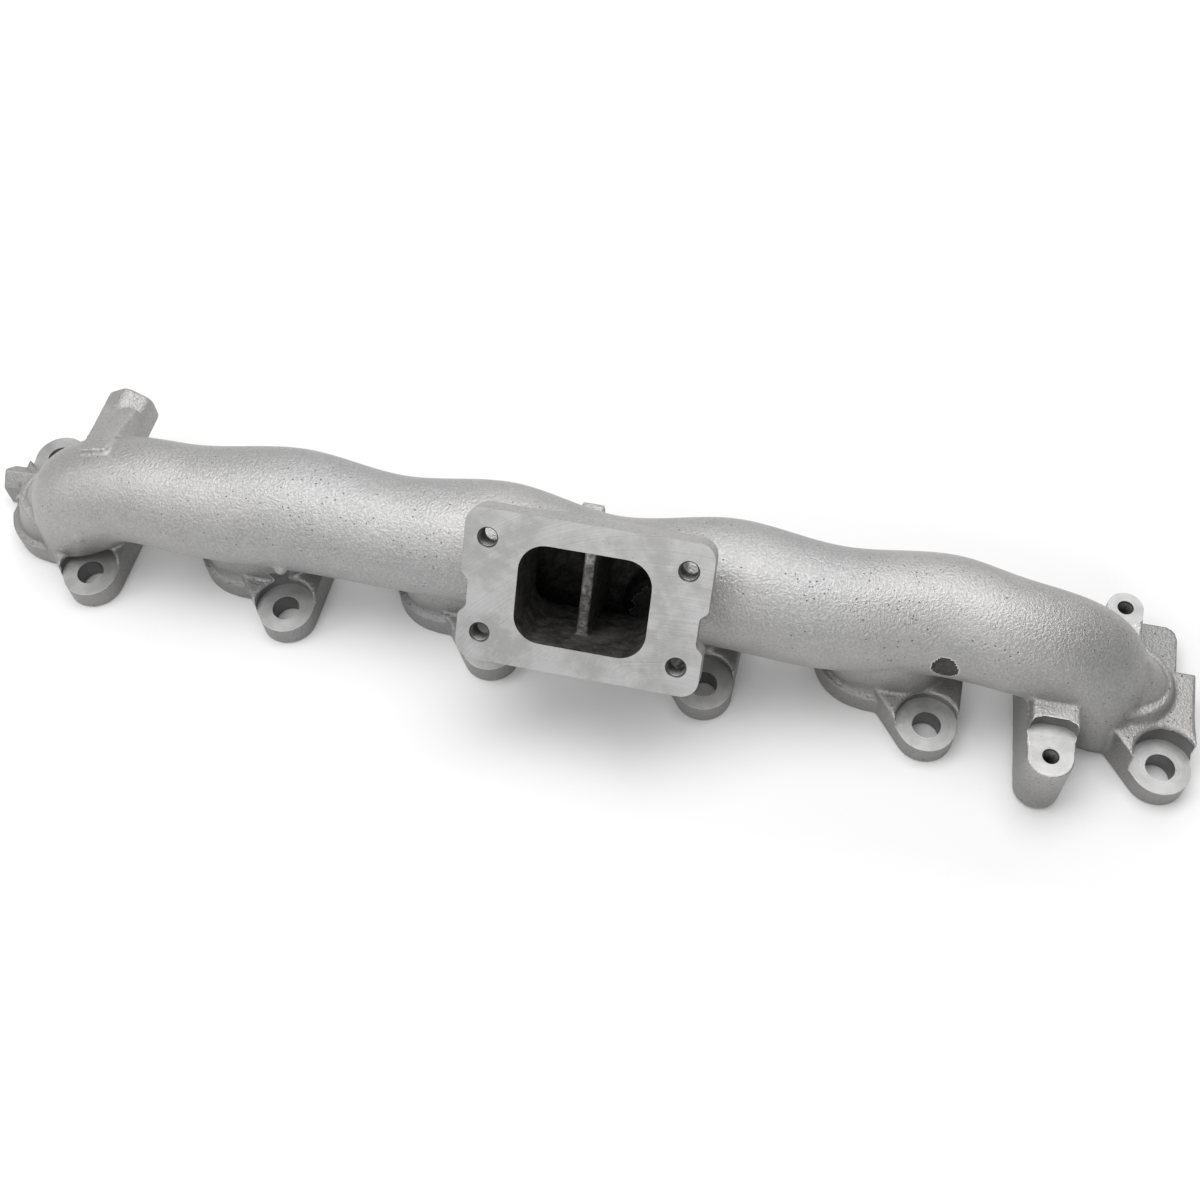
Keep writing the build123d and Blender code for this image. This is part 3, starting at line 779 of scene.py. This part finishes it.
number = "NodeSocketFloat"
rule = Rule(
    "thread",
    {
        "Minor radius": number,
        "Depth": number,
        "Pitch": number,
        "Length": number,
        "Axis": "NodeSocketVector",
        "Finish": "NodeSocketMaterial",
    },
)
given = rule.given
grid = rule.node("GeometryNodeMeshGrid", None, {"Size X": 1.0, "Size Y": 1.0, "Vertices X": 49, "Vertices Y": 97})
spot = rule.node("ShaderNodeSeparateXYZ", None, {"Vector": rule.node("GeometryNodeInputPosition")["Position"]})
turn = spot["X"] + 0.5
along = spot["Y"] + 0.5
drop = along * given["Length"]
turns = rule.node("ShaderNodeMath", {"operation": "DIVIDE"}, {0: drop, 1: given["Pitch"]})[0] - turn
wave = rule.node("ShaderNodeMath", {"operation": "PINGPONG"}, {0: turns + 40.0, 1: 0.5})[0] * 2.0
fade_in = rule.node("ShaderNodeMapRange", None, {"Value": along, "From Min": 0.0, "From Max": 0.09})["Result"]
fade_out = rule.node("ShaderNodeMapRange", None, {"Value": along, "From Min": 1.0, "From Max": 0.91})["Result"]
ridge = 1.0 - (1.0 - wave) * fade_in * fade_out
radius = given["Minor radius"] + given["Depth"] * ridge
angle = turn * (2 * pi)
cosine = rule.node("ShaderNodeMath", {"operation": "COSINE"}, {0: angle})[0]
sine = rule.node("ShaderNodeMath", {"operation": "SINE"}, {0: angle})[0]
rolled = rule.node("ShaderNodeCombineXYZ", None, {"X": radius * cosine, "Y": radius * sine, "Z": 0.0 - drop})[0]
tube = rule.node("GeometryNodeSetPosition", None, {"Geometry": grid["Mesh"], "Position": rolled})["Geometry"]
tube = rule.node("GeometryNodeMergeByDistance", None, {"Geometry": tube, "Distance": 1e-6})["Geometry"]
facing_in = rule.node("FunctionNodeAlignRotationToVector", {"axis": "Z"}, {"Vector": given["Axis"]})["Rotation"]
placed = rule.node("GeometryNodeInstanceOnPoints", None, {"Points": given["Geometry"], "Instance": tube, "Rotation": facing_in})["Instances"]
real = rule.node("GeometryNodeRealizeInstances", None, {"Geometry": placed})["Geometry"]
real = rule.node("GeometryNodeSetShadeSmooth", None, {"Geometry": real})["Geometry"]
painted = rule.node("GeometryNodeSetMaterial", None, {"Geometry": real, "Material": given["Finish"]})["Geometry"]
rule.node("NodeGroupOutput", None, {"Geometry": painted})
print("thread rule has", len(rule.tree.nodes), "nodes")


# %% Threads in the stud holes and the bracket holes
def threads(name, places, sizes):
    points = bpy.data.meshes.new(name + "_places")
    points.from_pydata([tuple(p) for p in places], [], [])
    holder = new_object(name + "_places", points)
    modifier = holder.modifiers.new("thread", "NODES")
    modifier.node_group = rule.tree
    for key, value in sizes.items():
        modifier[rule.identifiers[key]] = value
    mesh = applied(holder, name)
    bpy.data.objects.remove(holder)
    piece = new_object(name, mesh)
    mesh.uv_layers.new(name="tool")
    print(name, "has", len(mesh.polygons), "faces")
    return piece


stud_start = 0.45 * MM
stud_threads = threads(
    "stud_threads",
    [h - turbo_normal * stud_start for h in stud_holes],
    {
        "Minor radius": stud_radius,
        "Depth": stud_thread_depth - 0.02 * MM,
        "Pitch": 1.5 * MM,
        "Length": flange_thickness - 2 * stud_start,
        "Axis": tuple(turbo_normal),
        "Finish": drilled_wall,
    },
)
bracket_start = 0.35 * MM
bracket_threads = threads(
    "bracket_threads",
    [h + Vector((0, 0, top - bracket_start)) for h, top in zip(bracket_holes, boss_tops)],
    {
        "Minor radius": bracket_radius,
        "Depth": bracket_thread_depth - 0.02 * MM,
        "Pitch": 1.25 * MM,
        "Length": 16.5 * MM,
        "Axis": (0.0, 0.0, 1.0),
        "Finish": drilled_wall,
    },
)

# %% [markdown]
# The floor is a plain white sheet under the head face.  It isn't part of the manifold.

# %% Floor
sheet = bmesh.new()
bmesh.ops.create_grid(sheet, x_segments=8, y_segments=8, size=6.0)
floor = new_object("floor", mesh_from(sheet, "floor"))
for v in floor.data.vertices:
    v.co.z = -0.0006
finish = Finish("white_sheet")
where = finish.place()
tone = finish.noise(where, 3.0, 1.0, 0.5)
colour = finish.mix(tone, grey(0.70, 0.0), grey(0.72, 0.0))
floor.data.materials.append(finish.surface(colour, 0.85, 0.0, finish.bump(tone, 0.0001, 0.1)))
print("floor at", round(floor.data.vertices[0].co.z / MM, 2), "mm")

# %% [markdown]
# Last, each piece is tied to the frame: it stands for its CAD region and rides on the one body that
# a solid casting has.

# %% Tie the pieces to the frame
for name, piece in pieces.items():
    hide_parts(name)
    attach(piece, "root")
for piece in (stud_threads, bracket_threads):
    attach(piece, "root")
largest = max(pieces.values(), key=lambda p: len(p.data.polygons))
print("largest piece", largest.name, len(largest.data.loop_triangles) or len(largest.data.polygons))
